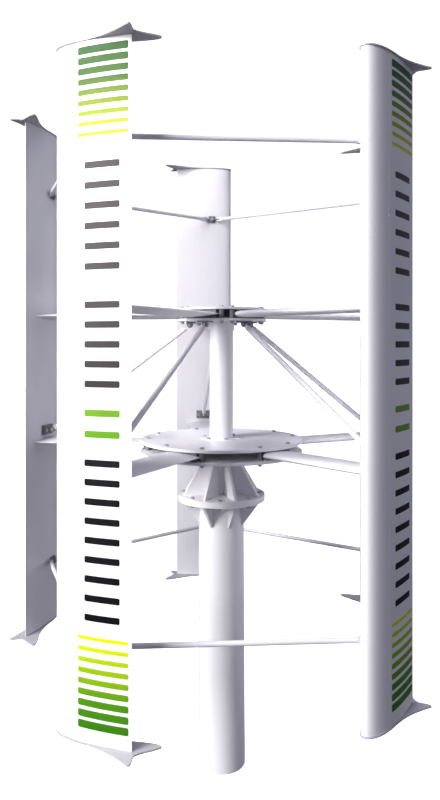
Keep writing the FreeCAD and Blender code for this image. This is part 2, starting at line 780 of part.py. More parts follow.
outer_wire = airfoil_wire(blade_chord, blade_ratio, blade_nose, across_blade)
blade_cells = [cell_wire(blade_chord, blade_ratio, blade_nose, across_blade,
                         size("blade_skin").value, start, end)
               for start, end in ((0.03, 0.265), (0.275, 0.56), (0.57, 0.90))]
blade_section = section("blade_section", [outer_wire] + blade_cells)
envelope_section = section("envelope_section", [outer_wire])
UP = Vector(0, 0, 1)
OUT = Vector(1, 0, 0)
blade_blank = extrude("blade_blank", blade_section, size("blade_length"), UP,
                      (0, 0, size("blade_foot")))
blade_envelope = extrude("blade_envelope", envelope_section, size("blade_length"), UP,
                         (0, 0, size("blade_foot")))

strut_bolt_level = size("strut_blade_level") - 3
STRUT_BOLTS = [(55, strut_bolt_level), (-55, strut_bolt_level)]
TIE_BOLTS = [(-size("tie_centre"), size("upper_tie_level")),
             (-size("tie_centre"), size("lower_tie_level"))]
bolt_drills = []
for k, (along, level) in enumerate(STRUT_BOLTS + TIE_BOLTS, start=1):
    bolt_drills.append(cylinder("blade_drill_%d" % k, size("bracket_bolt_radius"), 90,
                                (size("blade_circle") - 130, along, level), ALONG_X))
blade_form = cut("blade_form", blade_blank, bolt_drills)
blades = round_blades("blade", blade_form)

# ---------------------------------------------------------------- end plates

lip = size("end_plate_lip").value
nose_curve = [(half_thickness(x, blade_ratio) * blade_chord + lip, x * blade_chord - blade_nose)
              for x in stations(0, 0.36, 7)]
nose_curve[0] = (0.0, -blade_nose - lip)
# fish-tail lobes behind the blade, outward and along from the arm centre line
OUTER_FLARE = [(78, -30), (74, 50), (77, 120), (88, 200), (110, 295), (131, 362)]
OUTER_TIP = [(131, 362), (132, 376), (122, 384)]
OUTER_BACK = [(122, 384), (95, 379), (62, 364), (24, 350)]
INNER_BACK = [(24, 350), (-26, 377), (-86, 424), (-130, 452)]
INNER_TIP = [(-130, 452), (-150, 462), (-163, 448)]
INNER_FLARE = [(-163, 448), (-158, 400), (-138, 330), (-107, 240), (-82, 130), (-75, 40),
               (-77, -30)]
outer_side = nose_curve + OUTER_FLARE
inner_side = INNER_FLARE + [(-across, along) for across, along in reversed(nose_curve)]
plate_edges = [spline([across_blade(*p) for p in points])
               for points in (outer_side, OUTER_TIP, OUTER_BACK, INNER_BACK, INNER_TIP,
                              inner_side)]
plate_section = section("plate_section", [Part.Wire(plate_edges)])
top_plate_form = extrude("top_plate_form", plate_section, size("end_plate_thickness"), UP,
                         (0, 0, size("blade_foot") + size("blade_length")))
bottom_plate_form = extrude("bottom_plate_form", plate_section, size("end_plate_thickness"), UP,
                            (0, 0, size("blade_foot") - size("end_plate_thickness")))
top_end_plates = round_blades("top_end_plate", top_plate_form)
bottom_end_plates = round_blades("bottom_end_plate", bottom_plate_form)

# ---------------------------------------------------------------- arms and their roots

arm_nose = arm_chord / 2
spar_start = -size("spar_width").value / 2 - 2
spar_end = size("spar_width").value / 2 - 2
spar_half = size("spar_height").value / 2
spar_wire = Part.makePolygon([across_arm(-spar_half, spar_start), across_arm(-spar_half, spar_end),
                              across_arm(spar_half, spar_end), across_arm(spar_half, spar_start),
                              across_arm(-spar_half, spar_start)])
arm_cells = [cell_wire(arm_chord, arm_ratio, arm_nose, across_arm, size("arm_skin").value,
                       start, end) for start, end in ((0.05, 0.32), (0.67, 0.88))]
arm_section = section("arm_section", [airfoil_wire(arm_chord, arm_ratio, arm_nose, across_arm),
                                      spar_wire] + arm_cells)

root_items = []
arms = {}
for hub in ("upper", "lower"):
    level = size(hub + "_hub_level")
    start = size(hub + "_arm_start")
    blank = extrude(hub + "_arm_blank", arm_section, size("blade_circle") - start, OUT,
                    (start, 0, level))
    arm_form = cut(hub + "_arm_form", blank, [blade_envelope])
    arms[hub] = round_blades(hub + "_arm", arm_form)
    block = box(hub + "_root_block", size("root_length"), size("root_width"), size("hub_gap"),
                (start - size("root_length"), -size("root_width") / 2, level - half_gap))
    tongue = box(hub + "_root_tongue", size("tongue_length") + 20, size("spar_width"),
                 size("spar_height"),
                 (start - 20, spar_start, level - size("spar_height") / 2))
    root_items += round_blades(hub + "_root", fuse(hub + "_root_form", [block, tongue]))
arm_root_fittings = group("arm_root_fittings", root_items)

# ---------------------------------------------------------------- diagonal struts

hub_pin_level = collar_top - size("strut_hub_drop")
run = size("strut_blade_reach") - size("strut_hub_reach")
fall = hub_pin_level - size("strut_blade_level")
strut_length = math.hypot(run.value, fall.value)
strut_slope = math.degrees(math.atan2(fall.value, run.value))
strut_pin = size("strut_pin_radius")
setback = size("strut_setback")
tube_length = strut_length - setback * 2
strut_tube = cut("strut_tube",
                 cylinder("strut_outside", size("strut_radius"), tube_length, (setback, 0, 0), ALONG_X),
                 [cylinder("strut_inside", size("strut_bore"), tube_length + 20,
                           (setback - 10, 0, 0), ALONG_X)])
strut_parts = [strut_tube]
strut_holes = []
for end, base, toward in (("hub", 0.0, 0.0), ("blade", strut_length, 1.0)):
    cap_start = base + setback.value * (1 - 2 * toward) - size("strut_cap").value * toward
    strut_parts.append(cylinder(end + "_strut_cap", size("strut_bore"), size("strut_cap"),
                                (cap_start, 0, 0), ALONG_X))
    strut_parts.append(box(end + "_tongue_bar", setback + 30, size("strut_tongue"), 36,
                           (base - toward * (setback.value + 30), -size("strut_tongue") / 2, -18)))
    strut_parts.append(cylinder(end + "_tongue_eye", 18, size("strut_tongue"),
                                (base, -size("strut_tongue") / 2, 0), ALONG_Y))
    strut_holes.append(cylinder(end + "_tongue_hole", strut_pin, size("strut_tongue") + 10,
                                (base, -size("strut_tongue") / 2 - 5, 0), ALONG_Y))
    strut_holes.append(cylinder(end + "_strut_vent", size("strut_vent"), size("strut_cap") + 10,
                                (cap_start - 5, 14, 0), ALONG_X))
strut_form = cut("strut_form", fuse("strut_solid", strut_parts), strut_holes)
place(strut_form, (size("strut_hub_reach"), 0, hub_pin_level),
      FreeCAD.Rotation(Vector(0, 1, 0), strut_slope))
struts = round_blades("diagonal_strut", strut_form)


def ears(name, reach, level, spans):
    """Two ears astride the strut tongue, each a block with a rounded eye."""
    items = []
    for side, start in (("left", size("ear_gap") / 2),
                        ("right", -size("ear_gap") / 2 - size("ear_thickness"))):
        x, z, length, height = spans
        items.append(box("%s_%s_ear" % (name, side), length, size("ear_thickness"), height,
                         (x, start, z)))
        items.append(cylinder("%s_%s_eye" % (name, side), 24, size("ear_thickness"),
                              (reach, start, level), ALONG_Y))
    return items


def pin_along_y(name, reach, level):
    """Strut pin with a head at each end."""
    half = size("ear_gap") / 2 + size("ear_thickness")
    return fuse(name, [
        cylinder(name + "_rod", strut_pin, half * 2, (reach, -half, level), ALONG_Y),
        cylinder(name + "_head_a", 14, 7, (reach, half, level), ALONG_Y),
        cylinder(name + "_head_b", 14, 7, (reach, -half - 7, level), ALONG_Y)])


hub_reach = size("strut_hub_reach")
lug_parts = [box("lug_base", 96, 120, 12, (hub_reach - 48, -60, collar_top - 12))]
lug_parts += ears("lug", hub_reach, hub_pin_level,
                  (hub_reach - 24, hub_pin_level, 48, size("strut_hub_drop") - 6))
lug_hole = cylinder("lug_hole", strut_pin, 80, (hub_reach, -40, hub_pin_level), ALONG_Y)
lug_form = cut("lug_form", fuse("lug_solid", lug_parts), [lug_hole])
strut_hub_lugs = group("strut_hub_lugs", round_blades("strut_hub_lug", lug_form))

blade_reach = size("strut_blade_reach")
blade_level = size("strut_blade_level")
bracket_parts = [box("bracket_base", 50, 156, 92, (blade_reach + 40, -78, blade_level - 48))]
bracket_parts += ears("bracket", blade_reach, blade_level,
                      (blade_reach, blade_level - 24, 60, 48))
bracket_tools = [blade_envelope,
                 cylinder("bracket_hole", strut_pin, 80, (blade_reach, -40, blade_level), ALONG_Y)]
for k, (along, level) in enumerate(STRUT_BOLTS, start=1):
    bracket_tools.append(cylinder("bracket_drill_%d" % k, size("bracket_bolt_radius"), 90,
                                  (blade_reach + 30, along, level), ALONG_X))
bracket_form = cut("bracket_form", fuse("bracket_solid", bracket_parts), bracket_tools)
strut_brackets = group("strut_brackets", round_blades("strut_bracket", bracket_form))

# ---------------------------------------------------------------- tie rods

tie_reach = size("tie_reach")
tail_pin = size("tie_spread") - size("tie_centre")
nose_pin = -size("tie_spread") - size("tie_centre")
step = 360.0 / whole("blade_count")
start_point = Vector(tie_reach.value, tail_pin.value, 0)
end_point = FreeCAD.Rotation(UP, step).multVec(Vector(tie_reach.value, nose_pin.value, 0))
tie_line = end_point - start_point
tie_length = tie_line.Length
tie_turn = math.degrees(math.atan2(tie_line.y, tie_line.x))


def fork():
    """Fork end with its pin at the origin and its body along +X."""
    width = size("fork_width")
    height = size("fork_height")
    solid = fuse("fork_solid", [
        box("fork_body", size("fork_length"), width, height, (0, -width / 2, -height / 2)),
        cylinder("fork_round", width / 2, height, (0, 0, -height / 2))])
    slot_box = box("fork_slot_box", size("fork_length") / 2 + 20, width + 4, size("fork_slot"),
                   (-20, -width / 2 - 2, -size("fork_slot") / 2))
    hole = cylinder("fork_hole", size("tie_pin_radius"), height, (0, 0, -height / 2))
    return cut("fork", solid, [slot_box, hole])


fork_form = fork()
far_fork = doc.addObject("Part::Refine", "far_fork")
far_fork.Source = fork_form
place(far_fork, (tie_length, 0, 0), FreeCAD.Rotation(UP, 180))
tube_length = tie_length - (size("fork_length") - 4) * 2
tube_blank = cylinder("tie_tube_blank", size("tie_radius"), tube_length,
                      (size("fork_length") - 4, 0, 0), ALONG_X)
tube_hollow = cylinder("tie_tube_hollow", size("tie_bore"), tube_length,
                       (size("fork_length") - 4, 0, 0), ALONG_X)
tie_form = fuse("tie_form", [cut("tie_tube", tube_blank, [tube_hollow]), fork_form, far_fork])


def tie_ring(name, level):
    placed = doc.addObject("Part::Refine", name + "_form")
    placed.Source = tie_form
    place(placed, (tie_reach, tail_pin, level), FreeCAD.Rotation(UP, tie_turn))
    return group(name, round_blades(name[:-1], placed))


upper_tie_rods = tie_ring("upper_tie_rods", size("upper_tie_level"))
lower_tie_rods = tie_ring("lower_tie_rods", size("lower_tie_level"))


def tie_bracket(name, level):
    """Bracket plate through both forks, with a foot on the blade."""
    plate = size("tie_plate")
    span = size("tie_spread") * 2
    parts = [
        box(name + "_web", 60, span, plate, (tie_reach - 16, nose_pin, level - plate / 2)),
        box(name + "_foot", 50, 80, 84, (tie_reach + 10, -size("tie_centre") - 40, level - 42)),
        cylinder(name + "_boss", 24, 34, (tie_reach - 16, -size("tie_centre"), level), ALONG_X)]
    for end, along in (("tail", tail_pin), ("nose", nose_pin)):
        parts.append(cylinder("%s_%s_eye" % (name, end), 16, plate,
                              (tie_reach, along, level - plate / 2)))
    tools = [blade_envelope,
             cylinder(name + "_drill", size("bracket_bolt_radius"), 120,
                      (tie_reach - 40, -size("tie_centre"), level), ALONG_X)]
    for end, along in (("tail", tail_pin), ("nose", nose_pin)):
        tools.append(cylinder("%s_%s_hole" % (name, end), size("tie_pin_radius"), plate + 4,
                              (tie_reach, along, level - plate / 2 - 2)))
    return cut(name, fuse(name + "_solid", parts), tools)


def tie_pin(name, along, level):
    """Upright pin through a fork, with a head at each end."""
    half = size("fork_height") / 2
    return fuse(name, [
        cylinder(name + "_rod", size("tie_pin_radius"), half * 2, (tie_reach, along, level - half)),
        cylinder(name + "_head_a", 11, 6, (tie_reach, along, level + half)),
        cylinder(name + "_head_b", 11, 6, (tie_reach, along, level - half - 6))])


def blade_bolt(name, seat, along, level):
    """Round-headed bolt from a bracket into the blade wall."""
    radius = size("bracket_bolt_radius")
    head = doc.addObject("Part::Cone", name + "_head")
    bind(head, "Radius1", radius + 6)
    bind(head, "Radius2", radius + 11)
    bind(head, "Height", 10)
    place(head, (seat - 10, along, level), ALONG_X)
    shank = cylinder(name + "_shank", radius, 62, (seat, along, level), ALONG_X)
    return fuse(name, [head, shank])


bracket_items = []
pin_items = [pin_along_y("hub_strut_pin", hub_reach, hub_pin_level),
             pin_along_y("blade_strut_pin", blade_reach, blade_level)]
for k, (along, level) in enumerate(STRUT_BOLTS, start=1):
    pin_items.append(blade_bolt("strut_bolt_%d" % k, blade_reach + 40, along, level))
for where in ("upper", "lower"):
    level = size(where + "_tie_level")
    bracket_items += round_blades(where + "_tie_bracket",
                                  tie_bracket(where + "_tie_bracket_form", level))
    pin_items.append(tie_pin(where + "_tail_pin", tail_pin, level))
    pin_items.append(tie_pin(where + "_nose_pin", nose_pin, level))
    pin_items.append(blade_bolt(where + "_tie_bolt", tie_reach - 16, -size("tie_centre"), level))
tie_brackets = group("tie_brackets", bracket_items)
bracket_pins = group("bracket_pins", [copy for item in pin_items
                                      for copy in round_blades(item.Name + "_copy", item)])

# ---------------------------------------------------------------- check and write

PIECES = [mast_tube, mast_head, flange_bolts, neck_housing, neck_cover, bearing_outer_rings,
          bearing_inner_rings, bearing_balls, generator_carrier, stator_core, stator_windings,
          generator_rotor, rotor_magnets, spindle, hub_core, main_shaft, core_bolts, hub_spacers,
          hub_bolts, arm_root_fittings, strut_hub_lugs, strut_brackets, tie_brackets,
          upper_tie_rods, lower_tie_rods, bracket_pins]
PIECES += discs + blades + top_end_plates + bottom_end_plates
PIECES += arms["upper"] + arms["lower"] + struts

doc.recompute()
for item in doc.Objects:
    state = [word for word in item.State if word in ("Invalid", "Error")]
    if state:
        raise RuntimeError("%s is %s" % (item.Name, state))
os.makedirs("parts", exist_ok=True)
for piece in PIECES:
    shape = piece.Shape
    if shape.isNull() or not shape.isValid() or not shape.Solids:
        raise RuntimeError("%s has no valid solid" % piece.Label)
    shape.exportStep("parts/%s.step" % piece.Label)
print("wrote %d pieces" % len(PIECES))
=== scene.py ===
"""Looks of the small wind turbine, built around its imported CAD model."""
import bpy
import bmesh
import json
import math
import random
from mathutils import Matrix, Vector


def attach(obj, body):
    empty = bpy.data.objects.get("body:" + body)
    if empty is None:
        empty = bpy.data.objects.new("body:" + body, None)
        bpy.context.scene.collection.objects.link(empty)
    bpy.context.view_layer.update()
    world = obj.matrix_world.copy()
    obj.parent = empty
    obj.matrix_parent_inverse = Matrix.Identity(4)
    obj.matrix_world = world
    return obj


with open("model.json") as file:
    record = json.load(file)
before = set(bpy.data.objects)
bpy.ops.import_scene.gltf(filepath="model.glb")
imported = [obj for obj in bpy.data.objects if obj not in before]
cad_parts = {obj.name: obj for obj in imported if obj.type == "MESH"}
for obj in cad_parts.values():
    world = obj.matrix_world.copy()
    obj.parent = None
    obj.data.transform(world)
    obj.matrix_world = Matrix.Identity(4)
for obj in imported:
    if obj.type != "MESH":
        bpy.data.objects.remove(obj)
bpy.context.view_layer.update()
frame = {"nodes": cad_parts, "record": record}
NODES = frame["nodes"]
random.seed(7)

# ------------------------------------------------------------------ sizes in metres

BLADE_CIRCLE = 1.866
BLADE_CHORD = 0.670
BLADE_NOSE = 0.355
BLADE_RATIO = 0.235
BLADE_FOOT = 1.165
BLADE_HEAD = 6.145
BLADE_COUNT = 5
MAST_TOP_RADIUS = 0.215
MAST_TOP = 2.510
NECK_FOOT = 2.566
NECK_RADIUS = 0.090
SHAFT_RADIUS = 0.112
SHAFT_FOOT = 3.097
SHAFT_COLLAR = 4.122
CLOCKING = 13.0           # degrees, first gusset
GUSSET_COUNT = 8
GUSSET_PITCH = 360.0 / GUSSET_COUNT
HALF_GUSSET = 0.0125      # half the gusset plate with half a weld bead

# bolt rings: radius, then the levels of the faces that carry washers
FLANGE_BOLTS = (0.365, (2.566, 2.507))
LOWER_HUB_BOLTS = (0.705, (3.091, 2.954))
UPPER_HUB_BOLTS = (0.385, (4.328, 4.203))
CORE_BOLTS = (0.166, (3.097, 2.932))
LOWER_HUB_SPREAD = 15.0   # degrees either side of an arm
UPPER_HUB_SPREAD = 28.8
CORE_BOLT_COUNT = 6
CORE_BOLT_START = 97.0
WASHER_M24 = (0.0125, 0.0225, 0.003)   # inner radius, outer radius, thickness
WASHER_M20 = (0.0105, 0.0185, 0.003)
WASHER_SIDES = 24
WASHER_BEVEL = 0.3        # share of its thickness


def blade_angle(k):
    """Direction of blade k from the mast axis, in radians from +X."""
    return math.radians(90 + 360.0 / BLADE_COUNT * (k - 1))


# ------------------------------------------------------------------ materials

def new_material(name):
    material = bpy.data.materials.new(name)
    material.use_nodes = True
    tree = material.node_tree
    tree.nodes.clear()
    out = tree.nodes.new("ShaderNodeOutputMaterial")
    shader = tree.nodes.new("ShaderNodeBsdfPrincipled")
    tree.links.new(shader.outputs["BSDF"], out.inputs["Surface"])
    return material, tree, shader


def noise(tree, scale, detail=3.0, roughness=0.5, stretch=None, seed=0.0):
    """Noise on the object's own coordinates; scale is in features per metre."""
    coords = tree.nodes.new("ShaderNodeTexCoord")
    mapping = tree.nodes.new("ShaderNodeMapping")
    mapping.inputs["Location"].default_value = (seed, seed * 0.7, seed * 1.3)
    mapping.inputs["Scale"].default_value = stretch or (1, 1, 1)
    texture = tree.nodes.new("ShaderNodeTexNoise")
    texture.inputs["Scale"].default_value = scale
    texture.inputs["Detail"].default_value = detail
    texture.inputs["Roughness"].default_value = roughness
    tree.links.new(coords.outputs["Object"], mapping.inputs["Vector"])
    tree.links.new(mapping.outputs["Vector"], texture.inputs["Vector"])
    return texture.outputs["Fac"]


def ramp(tree, source, stops, smooth=True):
    """Colour ramp over a value from 0 to 1; stops are (where, colour)."""
    node = tree.nodes.new("ShaderNodeValToRGB")
    node.color_ramp.interpolation = "EASE" if smooth else "LINEAR"
    elements = node.color_ramp.elements
    while len(elements) < len(stops):
        elements.new(0.5)
    for element, (where, colour) in zip(elements, stops):
        element.position = where
        element.color = (*colour, 1.0)
    tree.links.new(source, node.inputs["Fac"])
    return node.outputs["Color"]


def grey(value):
    return (value, value, value)


def multiply(tree, first, second):
    node = tree.nodes.new("ShaderNodeMix")
    node.data_type = "RGBA"
    node.blend_type = "MULTIPLY"
    node.inputs["Factor"].default_value = 1.0
    tree.links.new(first, node.inputs["A"])
    tree.links.new(second, node.inputs["B"])
    return node.outputs["Result"]


def bump(tree, shader, layers, round_edge=0.0):
    """Stack of bump layers, each (source, strength, distance), over rounded edges."""
    normal = None
    if round_edge:
        bevel = tree.nodes.new("ShaderNodeBevel")
        bevel.samples = 4
        bevel.inputs["Radius"].default_value = round_edge
        normal = bevel.outputs["Normal"]
    for source, strength, distance in layers:
        node = tree.nodes.new("ShaderNodeBump")
        node.inputs["Strength"].default_value = strength
        node.inputs["Distance"].default_value = distance
        tree.links.new(source, node.inputs["Height"])
        if normal is not None:
            tree.links.new(normal, node.inputs["Normal"])
        normal = node.outputs["Normal"]
    tree.links.new(normal, shader.inputs["Normal"])


def painted(name, colour, rough, grain=700.0, grain_depth=0.00006, grime=0.08, edge=0.002,
            coat=0.0, seed=0.0):
    """Paint or gelcoat: slight shade drift, rain streaks, orange peel and soft edges."""
    material, tree, shader = new_material(name)
    light = tuple(min(1.0, c * 1.008) for c in colour)
    dark = tuple(c * 0.986 for c in colour)
    drift = ramp(tree, noise(tree, 1.6, 4, seed=seed), [(0.35, dark), (0.65, light)])
    streak = ramp(tree, noise(tree, 5.0, 5, 0.6, (7.0, 7.0, 0.35), seed + 3),
                  [(0.30, grey(1.0 - grime * 0.28)), (0.60, grey(1.0))])
    specks = ramp(tree, noise(tree, 60.0, 2, 0.5, seed=seed + 9),
                  [(0.26, grey(1.0 - grime * 1.5)), (0.34, grey(1.0))])
    mixed = multiply(tree, multiply(tree, drift, streak), specks)
    tree.links.new(mixed, shader.inputs["Base Color"])
    gloss = ramp(tree, noise(tree, 3.5, 4, 0.6, (3.0, 3.0, 0.6), seed + 5),
                 [(0.3, grey(rough * 0.93)), (0.7, grey(min(1.0, rough * 1.08)))])
    tree.links.new(gloss, shader.inputs["Roughness"])
    shader.inputs["IOR"].default_value = 1.48
    shader.inputs["Coat Weight"].default_value = coat
    shader.inputs["Coat Roughness"].default_value = 0.18
    peel = noise(tree, grain, 2, 0.5, seed=seed + 1)
    wave = noise(tree, 9.0, 2, 0.4, seed=seed + 2)
    bump(tree, shader, [(wave, 0.12, 0.0005), (peel, 0.5, grain_depth)], edge)
    return material


def metal(name, colour, rough, scratch=(1, 1, 30), grain=120.0, tint=None, edge=0.001, seed=0.0,
          metallic=1.0):
    """Bare metal: turned or ground grain, stains and uneven polish."""
    material, tree, shader = new_material(name)
    tint = tint or tuple(c * 0.75 for c in colour)
    body = ramp(tree, noise(tree, 12.0, 5, 0.6, seed=seed), [(0.35, tint), (0.6, colour)])
    lines = ramp(tree, noise(tree, grain, 3, 0.6, scratch, seed + 4),
                 [(0.3, grey(0.86)), (0.6, grey(1.0))])
    tree.links.new(multiply(tree, body, lines), shader.inputs["Base Color"])
    shader.inputs["Metallic"].default_value = metallic
    gloss = ramp(tree, noise(tree, grain * 0.6, 3, 0.6, scratch, seed + 6),
                 [(0.3, grey(rough * 0.75)), (0.7, grey(min(1.0, rough * 1.3)))])
    tree.links.new(gloss, shader.inputs["Roughness"])
    bump(tree, shader, [(noise(tree, grain, 3, 0.6, scratch, seed + 4), 0.4, 0.00008)], edge)
    return material


def print_film(name, stops, rough=0.35, seed=0.0):
    """Printed film whose colour runs along the blade, with any painted sheen its stops carry; stops
    are heights in metres.
    """
    material, tree, shader = new_material(name)
    low, high = stops[0][0], stops[-1][0]
    coords = tree.nodes.new("ShaderNodeTexCoord")
    split = tree.nodes.new("ShaderNodeSeparateXYZ")
    scale = tree.nodes.new("ShaderNodeMapRange")
    scale.inputs["From Min"].default_value = low
    scale.inputs["From Max"].default_value = high
    tree.links.new(coords.outputs["Object"], split.inputs["Vector"])
    tree.links.new(split.outputs["Z"], scale.inputs["Value"])
    placed = [((z - low) / (high - low), colour) for z, colour in stops]
    colour = ramp(tree, scale.outputs["Result"], placed, smooth=False)
    wear = ramp(tree, noise(tree, 240.0, 3, 0.6, seed=seed), [(0.28, grey(0.86)), (0.4, grey(1.0))])
    drift = ramp(tree, noise(tree, 8.0, 4, 0.6, seed=seed + 2),
                 [(0.3, grey(0.93)), (0.7, grey(1.0))])
    tree.links.new(multiply(tree, multiply(tree, colour, wear), drift),
                   shader.inputs["Base Color"])
    gloss = ramp(tree, noise(tree, 30.0, 3, seed=seed + 4),
                 [(0.3, grey(rough * 0.8)), (0.7, grey(rough * 1.25))])
    tree.links.new(gloss, shader.inputs["Roughness"])
    shader.inputs["IOR"].default_value = 1.47
    shader.inputs["Specular IOR Level"].default_value = 0.10
    bump(tree, shader, [(noise(tree, 900.0, 2, seed=seed + 1), 0.3, 0.00003)])
    return material


WHITE = (0.80, 0.79, 0.82)
BRIGHT = (0.87, 0.86, 0.885)
# end plates greyer than the blades: painted shade, standing in for the dark shade on their
# undersides
PLATE_SHADE_GREY = (0.45, 0.445, 0.475)
TIE_GREY = (0.68, 0.67, 0.70)
# dark grey on brackets and lugs is painted shade, standing in for the shadow between the bracket
# ears
FITTING_SHADE_GREY = (0.20, 0.20, 0.22)
COVER_GREY = (0.30, 0.31, 0.34)
FILM_WHITE = (0.84, 0.83, 0.85)
SEAL_GREY = (0.42, 0.42, 0.45)
MATERIALS = {
    "blade_shell": painted("blade_gelcoat", WHITE, 0.30, 500, 0.00004, 0.05, 0.0, 0.25, 1.0),
    "end_plate": painted("plate_gelcoat_shaded", PLATE_SHADE_GREY, 0.38, 500, 0.00005, 0.08, 0.003, 0.15, 11.0),
    "arm_coat": painted("arm_powder", WHITE, 0.38, 900, 0.00006, 0.06, 0.0015, 0.0, 21.0),
    "strut_coat": painted("strut_powder", WHITE, 0.38, 900, 0.00006, 0.06, 0.0015, 0.0, 31.0),
    "tie_coat": painted("tie_powder", TIE_GREY, 0.38, 900, 0.00006, 0.05, 0.0015, 0.0, 41.0),
    "hub_coat": painted("hub_powder", BRIGHT, 0.36, 800, 0.00007, 0.07, 0.003, 0.1, 51.0),
    "fitting_coat": painted("fitting_painted_shade", FITTING_SHADE_GREY, 0.45, 900, 0.00008, 0.10, 0.002, 0.0,
                            61.0),
    "shaft_coat": painted("shaft_paint", BRIGHT, 0.34, 700, 0.00007, 0.06, 0.002, 0.1, 71.0),
    "mast_coat": painted("mast_paint", BRIGHT, 0.36, 700, 0.00008, 0.07, 0.003, 0.1, 81.0),
    "cover_coat": painted("cover_paint", COVER_GREY, 0.45, 700, 0.00008, 0.12, 0.002, 0.0, 91.0),
    "bare_steel": metal("turned_steel", (0.60, 0.60, 0.61), 0.32, (1, 1, 40), 60.0, seed=3.0),
    "zinc_fastener": metal("zinc_plate", (0.46, 0.46, 0.49), 0.40, (1, 1, 1), 220.0,
                           (0.36, 0.36, 0.39), 0.0012, 5.0, 0.4),
    "bearing_steel": metal("bearing_polish", (0.70, 0.70, 0.72), 0.16, (1, 1, 60), 90.0,
                           seed=7.0),
    "core_steel": metal("stacked_sheet", (0.24, 0.24, 0.26), 0.5, (1, 1, 260), 8.0, seed=9.0),
    "winding_copper": metal("enamelled_copper", (0.72, 0.30, 0.13), 0.35, (1, 1, 5), 300.0,
                            (0.50, 0.17, 0.07), 0.001, 13.0),
    "magnet_nickel": metal("nickel_plate", (0.66, 0.64, 0.60), 0.24, (1, 1, 1), 160.0,
                           seed=15.0),
}
weld_material = painted("weld_paint", BRIGHT, 0.40, 300, 0.0002, 0.10, 0.0, 0.0, 101.0)
film_material = painted("film_white", FILM_WHITE, 0.32, 400, 0.00002, 0.03, 0.0, 0.1, 111.0)
seal_material = painted("seal_grey", SEAL_GREY, 0.55, 500, 0.0001, 0.12, 0.0, 0.0, 121.0)

for row in frame["record"]["subparts"]:
    node = NODES[row["node"]]
    node.data.materials.clear()
    node.data.materials.append(MATERIALS[row["material_slot"]])

# ------------------------------------------------------------------ mesh helpers


def finish_piece(name, mesh, material, body):
    """Puts a finished mesh in the scene, on its body and in its material slot."""
    mesh.materials.append(material)
    for face in mesh.polygons:
        face.use_smooth = True
    piece = bpy.data.objects.new(name, mesh)
    bpy.context.scene.collection.objects.link(piece)
    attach(piece, body)
    return piece


SHARP_ANGLE = math.radians(58)
BEAD_SIDES = 7
BEAD_END = 0.55           # how much of its width a straight bead keeps at its ends
RIPPLE_TURN = 1.57


class Shell:
    """Gathers vertices and faces of one piece."""

    def __init__(self):
        self.points = []
        self.faces = []

    def ring(self, rows):
        """Joins equal rows of points with quads, and the last row to the first."""
        base = len(self.points)
        width = len(rows[0])
        for row in rows:
            self.points += [tuple(p) for p in row]
        for i in range(len(rows)):
            for j in range(width - 1):
                a = base + i * width + j
                b = base + (i + 1) % len(rows) * width + j
                self.faces.append((a, a + 1, b + 1, b))

    def slab(self, outer, inner):
        """Closed thin solid between two equal grids of points."""
        base = len(self.points)
        m, n = len(outer), len(outer[0])
        for layer in (outer, inner):
            for row in layer:
                self.points += [tuple(p) for p in row]
        size = m * n
        for i in range(m - 1):
            for j in range(n - 1):
                a = base + i * n + j
                self.faces.append((a, a + 1, a + n + 1, a + n))
                b = a + size
                self.faces.append((b, b + n, b + n + 1, b + 1))
        rim = [i * n for i in range(m)] + [(m - 1) * n + j for j in range(1, n)]
        rim += [i * n + n - 1 for i in range(m - 2, -1, -1)] + [j for j in range(n - 2, 0, -1)]
        for a, b in zip(rim, rim[1:] + rim[:1]):
            self.faces.append((base + a, base + b, base + b + size, base + a + size))

    def tube(self, path, radii, sides, closed=False):
        """Round bar along a path; radii is one value for each point."""
        count = len(path)
        rings = []
        side = None
        for i, point in enumerate(path):
            ahead = path[(i + 1) % count] if closed or i < count - 1 else path[i]
            behind = path[i - 1] if closed or i > 0 else path[i]
            along = (ahead - behind).normalized()
            if side is None:
                side = along.orthogonal().normalized()
            side = (side - along * side.dot(along)).normalized()
            up = along.cross(side)
            ring = []
            for s in range(sides + 1):
                turn = 2 * math.pi * (s % sides) / sides
                ring.append(point + (side * math.cos(turn) + up * math.sin(turn)) * radii[i])
            rings.append(ring)
        base = len(self.points)
        for ring in rings:
            self.points += [tuple(p) for p in ring[:-1]]
        last = count if closed else count - 1
        for i in range(last):
            for s in range(sides):
                a = base + i * sides + s
                b = base + i * sides + (s + 1) % sides
                c = base + (i + 1) % count * sides + (s + 1) % sides
                d = base + (i + 1) % count * sides + s
                self.faces.append((a, b, c, d))
        if not closed:
            self.faces.append(tuple(base + s for s in range(sides - 1, -1, -1)))
            self.faces.append(tuple(base + (count - 1) * sides + s for s in range(sides)))

    def piece(self, name, material, body, slot):
        """Makes the mesh, with its sharp edges marked, and hands it over."""
        mesh = bpy.data.meshes.new(name)
        mesh.from_pydata(self.points, [], self.faces)
        work = bmesh.new()
        work.from_mesh(mesh)
        bmesh.ops.recalc_face_normals(work, faces=work.faces)
        work.to_mesh(mesh)
        work.free()
        mesh.set_sharp_from_angle(angle=SHARP_ANGLE)
        return finish_piece(name, mesh, material, body)


def swell(i, ripple, spread):
    """Width of one ring of a bead: a ripple from ring to ring, and some chance."""
    return (1.0 - ripple + ripple * abs(math.sin(i * RIPPLE_TURN))
            + random.uniform(-spread, spread))


def bead(shell, start, end, radius, pitch=0.006):
    """Weld bead in a straight line, with ripples and uneven width."""
    length = (end - start).length
    count = max(6, int(length / pitch))
    path = []
    radii = []
    for i in range(count + 1):
        path.append(start.lerp(end, i / count))
        radii.append(radius * swell(i, 0.18, 0.06) * (BEAD_END if i in (0, count) else 1.0))
    shell.tube(path, radii, BEAD_SIDES)


